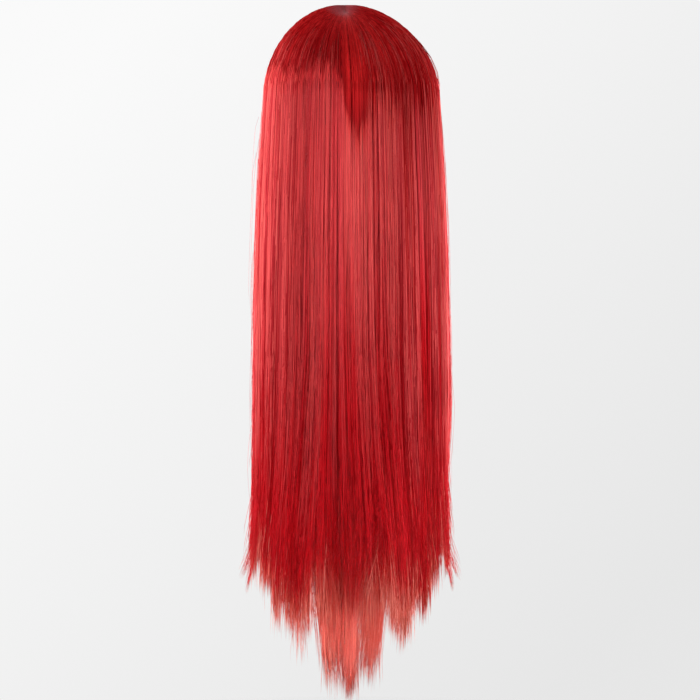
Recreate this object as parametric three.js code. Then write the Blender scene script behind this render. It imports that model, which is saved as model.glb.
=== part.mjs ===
// Long straight wig: a net cap, a parting strip sewn along its top, and four sections of hair that
// hang from the cap to a cut that is longest at the middle of the back. Millimetres, +Z up, the face
// towards -Y and the wearer's left towards +X. The origin is the inside of the cap at the crown.
import * as THREE from "three";

const { clamp, degToRad, lerp, smoothstep } = THREE.MathUtils;

// Head and cap: the hollow is an ellipsoid, and the rim lies in a plane that falls towards the nape
const HEAD = { halfWidth: 76, halfDepth: 96, dome: 95 };
const CAP_WALL = 1.5;
const RIM = { atEars: -100, fall: 0.85 };
const SEAT_GAP = 0.7;
const SECTION_GAP = 0.4;
const CENTRE = new THREE.Vector3(0, 0, -HEAD.dome);

// Hair on the crown: strands leave the parting, bend over the dome and hang from the widest level
const CROWN = { height: 102, rootDrop: 1, rootRise: 6 };
const PARTING = { x: 6, width: 8, front: -82, crown: 50, crowding: 2.2, fan: 12 };
const STRIP = { thickness: 3.6, inset: 0.7 };

// Angles round the head, in degrees from the middle of the back, positive to the wearer's left
const FACE_EDGE = 138;
const SIDE_EDGE = 48;
const NAPE_EDGE = 68;
const NAPE_TOP = -129;
const NAPE_GAP = 1;

// Sections of the hanging hair: outer half width and reach of the back, and the two hair walls
const LEVELS = [
  { z: -95, halfWidth: 92, back: 108, wall: 12, napeWall: 14 },
  { z: -155, halfWidth: 96, back: 107, wall: 12, napeWall: 14 },
  { z: -255, halfWidth: 100, back: 105, wall: 11, napeWall: 12 },
  { z: -405, halfWidth: 104, back: 103, wall: 10, napeWall: 9 },
  { z: -565, halfWidth: 103, back: 101, wall: 9, napeWall: 7 },
  { z: -705, halfWidth: 101, back: 100, wall: 8, napeWall: 6 },
];

// Lowest point of the locks by angle round the head, for the outer hair and for the nape hair
const OUTER_TIPS = [
  { angle: 0, z: -646 },
  { angle: 24, z: -645 },
  { angle: 36, z: -641 },
  { angle: 46, z: -626 },
  { angle: 60, z: -600 },
  { angle: 80, z: -588 },
  { angle: 138, z: -584 },
];
const NAPE_TIPS = [
  { angle: 0, z: -702 },
  { angle: 8, z: -690 },
  { angle: 18, z: -656 },
  { angle: 40, z: -634 },
  { angle: 68, z: -606 },
];

// Locks: a ridge with a groove on either side, ending in a point. Powers round the ridge and the point.
const LOCK = { groove: 2.2, frontGroove: 8, notch: 34, lengthPlay: 16, widthPlay: 0.7, tipWall: 0.3 };
const LOCK_ROUND = { ridge: 2.2, point: 1.3, shallowest: 0.6, deepest: 1.4 };
const LOCK_SHARES = [-1, -0.5, 0, 0.5];

// Where a groove opens out on the dome, in degrees, and where a wall thins and a nape groove opens out,
// as shares of the hanging length
const GROOVE_OPENS = { from: 8, to: 70 };
const WALL_THINS = { from: 0.45, to: 1 };
const NAPE_GROOVE_OPENS = { from: 0.1, to: 0.5 };

// Rows of points along a strand: degrees over the dome, then shares of the hanging length
const DOME_TURNS = [0, 6, 14, 24, 35, 46, 57, 68, 79];
const HANG_SHARES = [0, 0.1, 0.26, 0.48, 0.7, 0.86, 0.95, 1];
const NAPE_SHARES = [0, 0.018, 0.038, 0.08, 0.16, 0.34, 0.56, 0.78, 0.92, 1];
const CAP_COLUMNS = 40;
const CAP_ROWS = 9;
const STRIP_ROWS = 12;

// A repeatable number from 0 to 1 for each seed
function chance(seed) {
  const value = Math.sin(seed * 127.1) * 43758.5453;
  return value - Math.floor(value);
}

// Straight-line reading of a table, by the column named key, of the column named wanted
function read(table, key, at, wanted) {
  const rising = table[1][key] > table[0][key] ? 1 : -1;
  const after = table.findIndex((row) => (row[key] - at) * rising >= 0);
  if (after === 0) return table[0][wanted];
  if (after < 0) return table[table.length - 1][wanted];
  const [low, high] = [table[after - 1], table[after]];
  return lerp(low[wanted], high[wanted], (at - low[key]) / (high[key] - low[key]));
}

// The cap's outside grown by a gap, as the half axes of its ellipsoid
function capAxes(gap) {
  const grown = CAP_WALL + gap;
  return new THREE.Vector3(HEAD.halfWidth + grown, HEAD.halfDepth + grown, HEAD.dome + grown);
}

// A point brought straight towards the head's centre, to rest on the cap with a lift above it
function ontoCap(point, lift = 0) {
  const arm = point.clone().sub(CENTRE);
  const axes = capAxes(SEAT_GAP);
  const reach = arm.clone().divide(axes).length();
  return arm.multiplyScalar((1 + lift / axes.z) / reach).add(CENTRE);
}

// The cap's half width and half depth at a height, with the gap that hair keeps to it
function capPlan(z) {
  const axes = capAxes(SEAT_GAP);
  const share = Math.sqrt(Math.max(0, 1 - ((z - CENTRE.z) / axes.z) ** 2));
  return { halfWidth: axes.x * share, back: axes.y * share };
}

// A point of an oval plan, by its angle round from the back
function onPlan(plan, angle, z) {
  const turn = degToRad(angle);
  return new THREE.Vector3(plan.halfWidth * Math.sin(turn), plan.back * Math.cos(turn), z);
}

function outerPlan(z) {
  return { halfWidth: read(LEVELS, "z", z, "halfWidth"), back: read(LEVELS, "z", z, "back") };
}

// A plan brought in by a wall, but never into the cap
function innerPlan(plan, wall, z) {
  const cap = capPlan(z);
  return {
    halfWidth: Math.max(cap.halfWidth, plan.halfWidth - wall),
    back: Math.max(cap.back, plan.back - wall),
  };
}

// A closed solid lofted through sections, each an outer and an inner row of points of equal length.
// An open loft gets a face at each end, and points that fall together are merged.
function loft(sections, closed) {
  const positions = [];
  const known = new Map();
  const triangles = [];
  const indexOf = (point) => {
    const key = point.toArray().map((value) => value.toFixed(4)).join();
    if (!known.has(key)) {
      known.set(key, positions.length / 3);
      positions.push(...point.toArray());
    }
    return known.get(key);
  };
  const triangle = (...corners) => {
    if (new Set(corners).size === 3) triangles.push(...corners);
  };
  const quad = (a, b, c, d) => {
    triangle(a, b, c);
    triangle(a, c, d);
  };
  const rings = sections.map(({ outer, inner }) => [...outer, ...inner.toReversed()].map(indexOf));
  const length = rings[0].length;
  const joins = closed ? rings.length : rings.length - 1;
  for (let j = 0; j < joins; j++) {
    const [here, next] = [rings[j], rings[(j + 1) % rings.length]];
    for (let k = 0; k < length; k++) {
      const after = (k + 1) % length;
      quad(here[k], next[k], next[after], here[after]);
    }
  }
  if (!closed) {
    const [first, last] = [rings[0], rings[rings.length - 1]];
    for (let k = 0; k < length / 2 - 1; k++) {
      const across = length - 1 - k;
      quad(first[k], first[k + 1], first[across - 1], first[across]);
      quad(last[k], last[across], last[across - 1], last[k + 1]);
    }
  }
  const geometry = new THREE.BufferGeometry();
  geometry.setAttribute("position", new THREE.Float32BufferAttribute(positions, 3));
  geometry.setIndex(triangles);
  geometry.computeVertexNormals();
  return geometry;
}

// Net cap: an ellipsoid shell from the crown to the sloping rim
function capGeometry() {
  const meridian = (angle, axes) => {
    const rise = axes.z;
    const slope = RIM.fall * axes.y * Math.cos(angle);
    const toRim = Math.atan2(slope, rise) + Math.acos((RIM.atEars - CENTRE.z) / Math.hypot(rise, slope));
    return Array.from({ length: CAP_ROWS + 1 }, (_, row) => {
      const turn = (toRim * row) / CAP_ROWS;
      const across = Math.sin(turn);
      const direction = new THREE.Vector3(across * Math.sin(angle), across * Math.cos(angle), Math.cos(turn));
      return direction.multiply(axes).add(CENTRE);
    });
  };
  const sections = Array.from({ length: CAP_COLUMNS }, (_, column) => {
    const angle = (2 * Math.PI * column) / CAP_COLUMNS;
    return { outer: meridian(angle, capAxes(0)), inner: meridian(angle, capAxes(-CAP_WALL)) };
  });
  return loft(sections, true);
}

// Height of the hair's dome, by the shares of its half width and half depth at which a point lies
function domeHeight(across, along) {
  return CENTRE.z + CROWN.height * Math.sqrt(Math.max(0, 1 - across ** 2 - along ** 2));
}

// Where the strand that hangs at an angle leaves the parting: its offset from it, and its distance along it
function rootOf(angle) {
  const share = (Math.abs(angle) / FACE_EDGE) ** PARTING.crowding;
  const offset = (clamp(angle / PARTING.fan, -1, 1) * PARTING.width) / 2;
  return { offset, y: lerp(PARTING.crown, PARTING.front, share) };
}

// A strand's point on the dome, on a line that is straight in plan from its root to the widest level
function onDome(angle, turn) {
  const root = rootOf(angle);
  const edge = onPlan(LEVELS[0], angle, LEVELS[0].z);
  const out = Math.sin(degToRad(turn));
  const offset = lerp(root.offset, edge.x, out);
  const y = lerp(root.y, edge.y, out);
  const sunk = CROWN.rootDrop * Math.exp(-turn / CROWN.rootRise);
  const z = domeHeight(offset / LEVELS[0].halfWidth, y / LEVELS[0].back) - sunk;
  return new THREE.Vector3(PARTING.x * (1 - out) + offset, y, z);
}

// A point moved in towards the head: square to the dome, and level below the dome
function sink(point, depth) {
  const inward = new THREE.Vector3(point.x, point.y, Math.max(0, point.z - CENTRE.z)).normalize();
  return point.clone().addScaledVector(inward, -depth);
}

// Full wall along most of the hanging length, thinned towards the point of the lock
function tipTaper(share) {
  return lerp(1, LOCK.tipWall, smoothstep(share, WALL_THINS.from, WALL_THINS.to));
}

// One section of outer hair: down its strand from the parting to the tip, with its groove's depth
function outerStrand({ angle, groove, tip }) {
  const outer = [];
  const inner = [];
  for (const turn of DOME_TURNS) {
    const point = onDome(angle, turn);
    outer.push(sink(point, groove * smoothstep(turn, GROOVE_OPENS.from, GROOVE_OPENS.to)));
    inner.push(ontoCap(point));
  }
  for (const share of HANG_SHARES) {
    const z = lerp(LEVELS[0].z, tip, share);
    const taper = tipTaper(share);
    const plan = outerPlan(z);
    outer.push(sink(onPlan(plan, angle, z), groove * taper));
    inner.push(onPlan(innerPlan(plan, read(LEVELS, "z", z, "wall") * taper, z), angle, z));
  }
  return { outer, inner };
}

// One section of nape hair: it rests on the back of the cap and hangs inside the outer hair
function napeStrand({ angle, groove, tip }) {
  const outer = [];
  const inner = [];
  for (const share of NAPE_SHARES) {
    const z = lerp(NAPE_TOP, tip, share);
    const taper = tipTaper(share);
    const plan = innerPlan(outerPlan(z), read(LEVELS, "z", z, "wall") + NAPE_GAP, z);
    const wall = read(LEVELS, "z", z, "napeWall") * taper;
    const opened = smoothstep(share, NAPE_GROOVE_OPENS.from, NAPE_GROOVE_OPENS.to);
    outer.push(sink(onPlan(plan, angle, z), (groove / 2) * taper * opened));
    inner.push(onPlan(innerPlan(plan, wall, z), angle, z));
  }
  return { outer, inner };
}

// The columns of a stretch of hair, lock by lock: angle, groove depth and lowest point of each
function lockColumns({ from, to, locks, tips, seed }) {
  const step = (to - from) / locks;
  const edges = Array.from({ length: locks + 1 }, (_, i) => {
    const play = i === 0 || i === locks ? 0 : LOCK.widthPlay * (chance(seed + i) - 0.5);
    return from + (i + play) * step;
  });
  const grooves = edges.map((edge, i) => {
    const atFace = Math.abs(edge) > FACE_EDGE - 1;
    const depth = lerp(LOCK_ROUND.shallowest, LOCK_ROUND.deepest, chance(seed + 40 + i));
    return atFace ? LOCK.frontGroove : LOCK.groove * depth;
  });
  const points = Array.from({ length: locks }, (_, i) => {
    const middle = (edges[i] + edges[i + 1]) / 2;
    return read(tips, "angle", Math.abs(middle), "z") + LOCK.lengthPlay * (chance(seed + 80 + i) - 0.3);
  });
  const notches = edges.map((_, i) => Math.max(...points.slice(Math.max(0, i - 1), i + 1)) + LOCK.notch);
  const columnsOf = (i, shares) =>
    shares.map((share) => {
      const side = share < 0 ? i : i + 1;
      const away = Math.abs(share);
      return {
        angle: lerp(edges[i], edges[i + 1], (share + 1) / 2),
        groove: grooves[side] * away ** LOCK_ROUND.ridge,
        tip: lerp(points[i], notches[side], away ** LOCK_ROUND.point),
      };
    });
  return [
    ...Array.from({ length: locks }, (_, i) => columnsOf(i, LOCK_SHARES)).flat(),
    ...columnsOf(locks - 1, [1]),
  ];
}

// Half the gap between neighbouring sections of hair, as an angle
const HALF_GAP = THREE.MathUtils.radToDeg(SECTION_GAP / 2 / LEVELS[0].halfWidth);

const OUTER = { strand: outerStrand, tips: OUTER_TIPS, color: 0xb51d28 };
const SECTIONS = [
  { name: "hair_back", ...OUTER, from: -SIDE_EDGE, to: SIDE_EDGE, locks: 11, seed: 3 },
  { name: "hair_left", ...OUTER, from: SIDE_EDGE, to: FACE_EDGE, locks: 8, seed: 17 },
  { name: "hair_right", ...OUTER, from: -FACE_EDGE, to: -SIDE_EDGE, locks: 8, seed: 29 },
  {
    name: "hair_nape",
    strand: napeStrand,
    tips: NAPE_TIPS,
    color: 0xa01520,
    from: -NAPE_EDGE,
    to: NAPE_EDGE,
    locks: 9,
    seed: 53,
  },
];

function hairGeometry({ strand, from, to, ...stretch }) {
  const columns = lockColumns({ ...stretch, from: from + HALF_GAP, to: to - HALF_GAP });
  return loft(columns.map(strand), false);
}

// Parting strip: a narrow band on the cap between the roots of the left and right hair
function stripGeometry() {
  const half = PARTING.width / 2 - STRIP.inset;
  const sections = Array.from({ length: STRIP_ROWS + 1 }, (_, row) => {
    const y = lerp(PARTING.crown - 1, PARTING.front + 1, row / STRIP_ROWS);
    const z = domeHeight(0, y / LEVELS[0].back);
    const across = [-half, 0, half].map((x) => new THREE.Vector3(PARTING.x + x, y, z));
    return {
      outer: across.map((point) => ontoCap(point, STRIP.thickness)),
      inner: across.map((point) => ontoCap(point)),
    };
  });
  return loft(sections, false);
}

function piece(name, geometry, color, roughness) {
  const material = new THREE.MeshStandardMaterial({ color, roughness, metalness: 0 });
  const mesh = new THREE.Mesh(geometry, material);
  mesh.name = name;
  return mesh;
}

const base = new THREE.Group();
base.add(piece("cap", capGeometry(), 0x3a0a10, 0.9));
base.add(piece("parting", stripGeometry(), 0xc9a3a2, 0.7));

const hair = new THREE.Group();
for (const section of SECTIONS) {
  hair.add(piece(section.name, hairGeometry(section), section.color, 0.4));
}

const wig = new THREE.Group();
wig.add(base, hair);

export default wig;
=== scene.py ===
import bmesh
import bpy
import numpy as np
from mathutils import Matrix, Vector


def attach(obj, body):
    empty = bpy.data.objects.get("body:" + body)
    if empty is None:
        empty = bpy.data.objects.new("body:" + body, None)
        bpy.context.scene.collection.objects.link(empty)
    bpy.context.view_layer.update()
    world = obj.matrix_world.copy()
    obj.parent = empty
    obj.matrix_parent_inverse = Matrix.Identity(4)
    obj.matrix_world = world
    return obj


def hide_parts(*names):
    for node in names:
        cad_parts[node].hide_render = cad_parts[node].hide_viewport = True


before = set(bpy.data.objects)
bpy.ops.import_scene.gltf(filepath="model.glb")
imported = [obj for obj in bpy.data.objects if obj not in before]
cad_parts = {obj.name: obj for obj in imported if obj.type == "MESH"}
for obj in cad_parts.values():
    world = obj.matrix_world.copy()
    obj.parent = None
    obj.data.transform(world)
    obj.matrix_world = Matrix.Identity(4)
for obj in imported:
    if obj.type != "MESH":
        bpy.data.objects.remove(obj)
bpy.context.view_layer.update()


# Net cap: stretch netting sewn to a dome, with rows of tape that the hair is sewn to and an elastic band
# turned in at the rim. It carries every other piece, and shows from the front and from below.

HEAD_CENTRE = np.array([0.0, 0.0, -0.095])
HEAD_HALF = np.array([0.076, 0.096, 0.095])
CAP_WALL = 0.0015
RIM_AT_EARS = -0.100
RIM_FALL = 0.85
CAP_ROUND = 112
CAP_DOWN = 64
TAPE_ROWS = 14
TAPE_RELIEF = 0.0007
TAPE_NARROWING = 4
TAPE_FULL_FROM = 0.25
BAND_SHARE = 0.94
BAND_RELIEF = 0.0012
NET_MESHES_ROUND = 120
NET_MESHES_DOWN = 70
NET_ON_TAPE = 0.9
MERGE_DISTANCE = 1e-6


def new_piece(name, points, faces):
    """Mesh object of points (n, 3) and a list of face arrays (count, corners), filled with foreach_set."""
    mesh = bpy.data.meshes.new(name)
    corners = np.concatenate([face.ravel() for face in faces])
    sizes = np.concatenate([np.full(len(face), face.shape[1]) for face in faces])
    mesh.vertices.add(len(points))
    mesh.vertices.foreach_set("co", points.astype(np.float32).ravel())
    mesh.loops.add(len(corners))
    mesh.loops.foreach_set("vertex_index", corners.astype(np.int32))
    mesh.polygons.add(len(sizes))
    mesh.polygons.foreach_set("loop_start", (np.cumsum(sizes) - sizes).astype(np.int32))
    mesh.polygons.foreach_set("use_smooth", np.ones(len(sizes), bool))
    mesh.update(calc_edges=True)
    piece = bpy.data.objects.new(name, mesh)
    bpy.context.scene.collection.objects.link(piece)
    return piece


def set_uv(piece, layer_name, corner_uv):
    """UV map of a piece from one pair of numbers for each face corner."""
    layer = piece.data.uv_layers.new(name=layer_name)
    layer.uv.foreach_set("vector", corner_uv.astype(np.float32).ravel())


def wall(name, outer, inner, joined):
    """Closed wall between two grids (round, down, 3): each section is a ring that runs down the outer grid
    and back up the inner one, neighbouring rings are joined by quads, and an open wall gets a strip of
    quads at each end. Its UV map runs round in u and down in v."""
    rings = np.concatenate([outer, inner[:, ::-1]], axis=1)
    count, length = rings.shape[:2]
    index = np.arange(count * length).reshape(count, length)
    here = index if joined else index[:-1]
    beyond = np.roll(index, -1, axis=0) if joined else index[1:]
    quads = np.stack([here, beyond, np.roll(beyond, -1, axis=1), np.roll(here, -1, axis=1)], axis=-1)
    faces = [quads.reshape(-1, 4)]
    if not joined:
        down = np.arange(length // 2 - 1)
        up = length - 1 - down
        first, last = index[0], index[-1]
        faces.append(np.stack([first[down], first[down + 1], first[up - 1], first[up]], axis=-1))
        faces.append(np.stack([last[down], last[up], last[up - 1], last[down + 1]], axis=-1))
    piece = new_piece(name, rings.reshape(-1, 3), faces)
    rows = np.linspace(0, 1, length // 2)
    around = np.repeat(np.linspace(0, 1, count)[:, None], length, axis=1)
    fall = np.repeat(np.concatenate([rows, rows[::-1]])[None, :], count, axis=0)
    uv = np.stack([around, fall], axis=-1).reshape(-1, 2)
    set_uv(piece, "Fall", uv[np.concatenate([face.ravel() for face in faces])])
    return piece


def add_node(tree, kind, **sockets):
    """Shader node of a kind, with input sockets set by name, where an underscore stands for a space."""
    made = tree.nodes.new(kind)
    for socket, value in sockets.items():
        made.inputs[socket.replace("_", " ")].default_value = value
    return made


def new_material(name):
    """Empty node material: its tree and the output's surface socket."""
    material = bpy.data.materials.new(name)
    material.use_nodes = True
    tree = material.node_tree
    tree.nodes.clear()
    output = tree.nodes.new("ShaderNodeOutputMaterial")
    return material, tree, output.inputs["Surface"]


def feed(tree, socket, value):
    """Links a socket to another one, or sets it to a plain value."""
    if isinstance(value, bpy.types.NodeSocket):
        tree.links.new(value, socket)
    else:
        socket.default_value = value


def math(tree, operation, first, second):
    """Math node on two values, each a socket or a number."""
    made = tree.nodes.new("ShaderNodeMath")
    made.operation = operation
    feed(tree, made.inputs[0], first)
    feed(tree, made.inputs[1], second)
    return made.outputs[0]


def ramp(tree, factor, stops):
    """Colour ramp from (place, linear colour) stops, read at a factor socket."""
    made = tree.nodes.new("ShaderNodeValToRGB")
    elements = made.color_ramp.elements
    while len(elements) < len(stops):
        elements.new(0.5)
    for element, (place, colour) in zip(elements, stops):
        element.position = place
        element.color = (*colour, 1)
    tree.links.new(factor, made.inputs["Fac"])
    return made.outputs["Color"]


def uv_axes(tree, layer_name):
    """The two coordinates of a piece's UV map, as sockets."""
    source = tree.nodes.new("ShaderNodeUVMap")
    source.uv_map = layer_name
    split = tree.nodes.new("ShaderNodeSeparateXYZ")
    tree.links.new(source.outputs["UV"], split.inputs[0])
    return split.outputs["X"], split.outputs["Y"]


def cap_grid(grown, relief=0.0):
    """Inner ellipsoid grown by a thickness: meridians run from the crown to the rim's plane, whose polar
    angle solves the plane's equation on each meridian. Relief is the share by which the tapes, each a crest
    of a cosine, and the band stand inwards."""
    turn = np.linspace(0, 2 * np.pi, CAP_ROUND, endpoint=False)[:, None]
    share = np.linspace(0, 1, CAP_DOWN)[None, :]
    axes = HEAD_HALF + grown
    slope = RIM_FALL * axes[1] * np.cos(turn)
    rim_cosine = (RIM_AT_EARS - HEAD_CENTRE[2]) / np.hypot(axes[2], slope)
    polar = (np.arctan2(slope, axes[2]) + np.arccos(rim_cosine)) * share
    level = np.sin(polar)
    direction = np.stack([level * np.sin(turn), level * np.cos(turn), np.cos(polar)], axis=-1)
    crest = np.clip(np.cos(2 * np.pi * TAPE_ROWS * share), 0, 1) ** TAPE_NARROWING
    tape = TAPE_RELIEF * crest * np.minimum(1, share / TAPE_FULL_FROM)
    band = BAND_RELIEF * np.sqrt(np.clip((share - BAND_SHARE) / (1 - BAND_SHARE), 0, 1))
    sunk = relief * np.maximum(tape, band)[..., None]
    return direction * (axes - sunk) + HEAD_CENTRE


def net_material():
    """Diamond net of dark threads over the hair behind it: a square grid of cells turned by half a right
    angle, darkest along the threads and the tapes."""
    material, tree, surface = new_material("cap_net")
    around, down = uv_axes(tree, "Fall")
    across = math(tree, "MULTIPLY", around, NET_MESHES_ROUND)
    along = math(tree, "MULTIPLY", down, NET_MESHES_DOWN)
    rising = math(tree, "PINGPONG", math(tree, "ADD", across, along), 0.5)
    falling = math(tree, "PINGPONG", math(tree, "SUBTRACT", across, along), 0.5)
    thread = math(tree, "MINIMUM", rising, falling)
    tape = math(tree, "PINGPONG", math(tree, "MULTIPLY", down, TAPE_ROWS), 0.5)
    cloth = math(tree, "MINIMUM", thread, math(tree, "MULTIPLY", tape, NET_ON_TAPE))
    cloth_stops = [
        (0.0, (0.055, 0.004, 0.007)),
        (0.1, (0.075, 0.006, 0.009)),
        (0.2, (0.2, 0.008, 0.012)),
    ]
    bump = add_node(tree, "ShaderNodeBump", Strength=0.5, Distance=0.0006)
    bump.invert = True
    tree.links.new(cloth, bump.inputs["Height"])
    shader = add_node(tree, "ShaderNodeBsdfPrincipled", Roughness=0.8)
    tree.links.new(ramp(tree, cloth, cloth_stops), shader.inputs["Base Color"])
    tree.links.new(bump.outputs["Normal"], shader.inputs["Normal"])
    tree.links.new(shader.outputs["BSDF"], surface)
    return material


def merge_points(piece):
    """Joins the points of a piece that lie together, as at the cap's crown."""
    work = bmesh.new()
    work.from_mesh(piece.data)
    bmesh.ops.remove_doubles(work, verts=work.verts, dist=MERGE_DISTANCE)
    work.to_mesh(piece.data)
    work.free()


def dress(piece, material, slot, *nodes):
    """Gives a piece its material, and has it ride on the wig and stand for its nodes. Its slot is not used.
    """
    piece.data.materials.append(material)
    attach(piece, "root")
    if nodes:
        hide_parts(*nodes)


net_cap = wall("net_cap", cap_grid(CAP_WALL), cap_grid(0, relief=1.0), joined=True)
merge_points(net_cap)
dress(net_cap, net_material(), "net", "cap")


# Parting strip: a narrow band of skin-coloured cloth sewn along the top of the cap, with short roots
# in it. Its rear end shows as a pale patch where the hair divides at the crown.

SEAT_GAP = 0.0007
PARTING_X = 0.006
PARTING_WIDTH = 0.008
PARTING_FRONT = -0.082
PARTING_CROWN = 0.050
STRIP_THICKNESS = 0.0036
STRIP_EDGE_THINNER = 0.35
STRIP_ROUNDING = 4
STRIP_INSET = 0.0001
STRIP_PAST_FRONT = 0.0004
STRIP_SHORT_OF_CROWN = 0.001
STRIP_ROWS = 90
STRIP_COLUMNS = 13
DOME_HEIGHT = 0.102
DOME_HALF_WIDTH = 0.092
DOME_BACK = 0.108
BLUSH_SCALE = 180.0
ROOT_SCALE = 900.0


def dome_height(across, along):
    """Height of the hair's ellipsoid, from a point's shares of its half width and its reach to the back."""
    return HEAD_CENTRE[2] + DOME_HEIGHT * np.sqrt(np.maximum(0, 1 - across**2 - along**2))


def onto_cap(points, lift=0.0):
    """Points moved straight towards the cap's centre, to rest over it with a gap and a further lift."""
    axes = HEAD_HALF + CAP_WALL + SEAT_GAP
    arm = points - HEAD_CENTRE
    reach = np.linalg.norm(arm / axes, axis=-1, keepdims=True)
    scale = 1 + np.asarray(lift)[..., None] / axes[2]
    return arm * scale / reach + HEAD_CENTRE


def mix_colour(tree, blend, factor, first, second):
    """Mix of two colours by a blend, where the factor and the colours are sockets or values."""
    made = tree.nodes.new("ShaderNodeMix")
    made.data_type = "RGBA"
    made.blend_type = blend
    feed(tree, made.inputs["Factor"], factor)
    feed(tree, made.inputs["A"], first)
    feed(tree, made.inputs["B"], second)
    return made.outputs["Result"]


def scalp_material():
    """Matt skin tone, blushed by the dyed roots, with fine specks where the roots go in."""
    material, tree, surface = new_material("parting_skin")
    place = tree.nodes.new("ShaderNodeTexCoord")
    blush = add_node(tree, "ShaderNodeTexNoise", Scale=BLUSH_SCALE, Detail=3.0)
    roots = add_node(tree, "ShaderNodeTexVoronoi", Scale=ROOT_SCALE)
    tree.links.new(place.outputs["Object"], blush.inputs["Vector"])
    tree.links.new(place.outputs["Object"], roots.inputs["Vector"])
    skin = ramp(tree, blush.outputs["Fac"], [(0.3, (0.40, 0.14, 0.165)), (0.7, (0.58, 0.25, 0.29))])
    speck = ramp(tree, roots.outputs["Distance"], [(0.1, (0.3, 0.03, 0.04)), (0.3, (1.0, 1.0, 1.0))])
    shader = add_node(tree, "ShaderNodeBsdfPrincipled", Roughness=0.65)
    tree.links.new(mix_colour(tree, "MULTIPLY", 1.0, skin, speck), shader.inputs["Base Color"])
    tree.links.new(shader.outputs["BSDF"], surface)
    return material


strip_ends = PARTING_CROWN - STRIP_SHORT_OF_CROWN, PARTING_FRONT - STRIP_PAST_FRONT
strip_y = np.linspace(*strip_ends, STRIP_ROWS)[:, None]
strip_across = np.linspace(-1, 1, STRIP_COLUMNS)
strip_x = PARTING_X + strip_across[None, :] * (PARTING_WIDTH / 2 - STRIP_INSET)
strip_top = dome_height(0, strip_y / DOME_BACK)
strip_grid = np.stack(np.broadcast_arrays(strip_x, strip_y, strip_top), axis=-1)
strip_crown = 1 - STRIP_EDGE_THINNER * strip_across**STRIP_ROUNDING
strip_lift = np.broadcast_to(STRIP_THICKNESS * strip_crown, strip_grid.shape[:2])
parting_strip = wall("parting_strip", onto_cap(strip_grid, strip_lift), onto_cap(strip_grid), joined=False)
dress(parting_strip, scalp_material(), "scalp", "parting")


# Back hair: glossy synthetic fibre in tresses sewn to the cap, combed from the end of the parting over
# the crown and down the back. A dense core of fibre carries the loose strands that lie over it.

# Outer form: angles in degrees round from the middle of the back, and sizes by height down the fall.
FACE_EDGE = 138.0
FACE_LIMIT = FACE_EDGE - 1
SIDE_EDGE = 48.0
SECTION_GAP = 0.0004
HALF_GAP = np.degrees(SECTION_GAP / 2 / DOME_HALF_WIDTH)
ROOT_DROP = 0.001
ROOT_RISE = 6.0
ROOT_CROWDING = 2.2
ROOT_FAN = 12.0
HANG_Z = np.array([-0.095, -0.155, -0.255, -0.405, -0.565, -0.705])
HANG_HALF_WIDTH = np.array([0.092, 0.096, 0.100, 0.1025, 0.1010, 0.0995])
HANG_BACK = np.array([0.108, 0.107, 0.105, 0.103, 0.101, 0.100])
HANG_WALL = np.array([0.012, 0.012, 0.011, 0.010, 0.009, 0.008])
RIGHT_CLOSER = 0.0035
RIGHT_CLOSING = (0.40, 0.50)

# Locks of the core: widths, grooves and tips play by chance. In a table, angles are above their values.
OUTER_TIPS = np.array([
    [0, 24, 36, 46, 60, 80, 138],
    [-0.646, -0.645, -0.641, -0.626, -0.600, -0.588, -0.584],
])
LOCK_GROOVE = 0.0022
LOCK_FACE_GROOVE = 0.008
LOCK_GROOVE_LEAST = 0.6
LOCK_GROOVE_PLAY = 0.8
LOCK_GROOVE_POWER = 2.2
LOCK_NOTCH = 0.034
LOCK_NOTCH_POWER = 1.3
LOCK_LENGTH_PLAY = 0.016
LOCK_LENGTH_BIAS = 0.3
LOCK_WIDTH_PLAY = 0.7
LOCK_TIP_WALL = 0.3
LOCK_TAPER_FROM = 0.45
LOCK_COLUMNS = 8
BACK_LOCKS = 11
GROOVE_SEED = 40
LENGTH_SEED = 80
GROOVE_TURNS = (8, 70)
CHANCE_STEP = 127.1
CHANCE_SPREAD = 43758.5453
CORE_SINK = 0.0046
CORE_ROOT_SINK = 0.3
CORE_ROOT_TURNS = (2, 30)
CORE_LEAST_WALL = 0.0006
CORE_SHORTER = 0.10
CORE_TURNS = np.linspace(0, 84, 15)
CORE_SHARES = np.linspace(0, 1, 22)
STREAKS_ACROSS = 260.0
STREAKS_DOWN = 3.0


def smooth(value, low, high):
    """Smooth step from 0 at low to 1 at high."""
    share = np.clip((value - low) / (high - low), 0, 1)
    return share * share * (3 - 2 * share)


def plan_point(angle, half_width, back, z):
    """Point of an oval plan, by the angle in degrees round from the middle of the back."""
    turn = np.radians(angle)
    return np.stack(np.broadcast_arrays(half_width * np.sin(turn), back * np.cos(turn), z), axis=-1)


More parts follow.
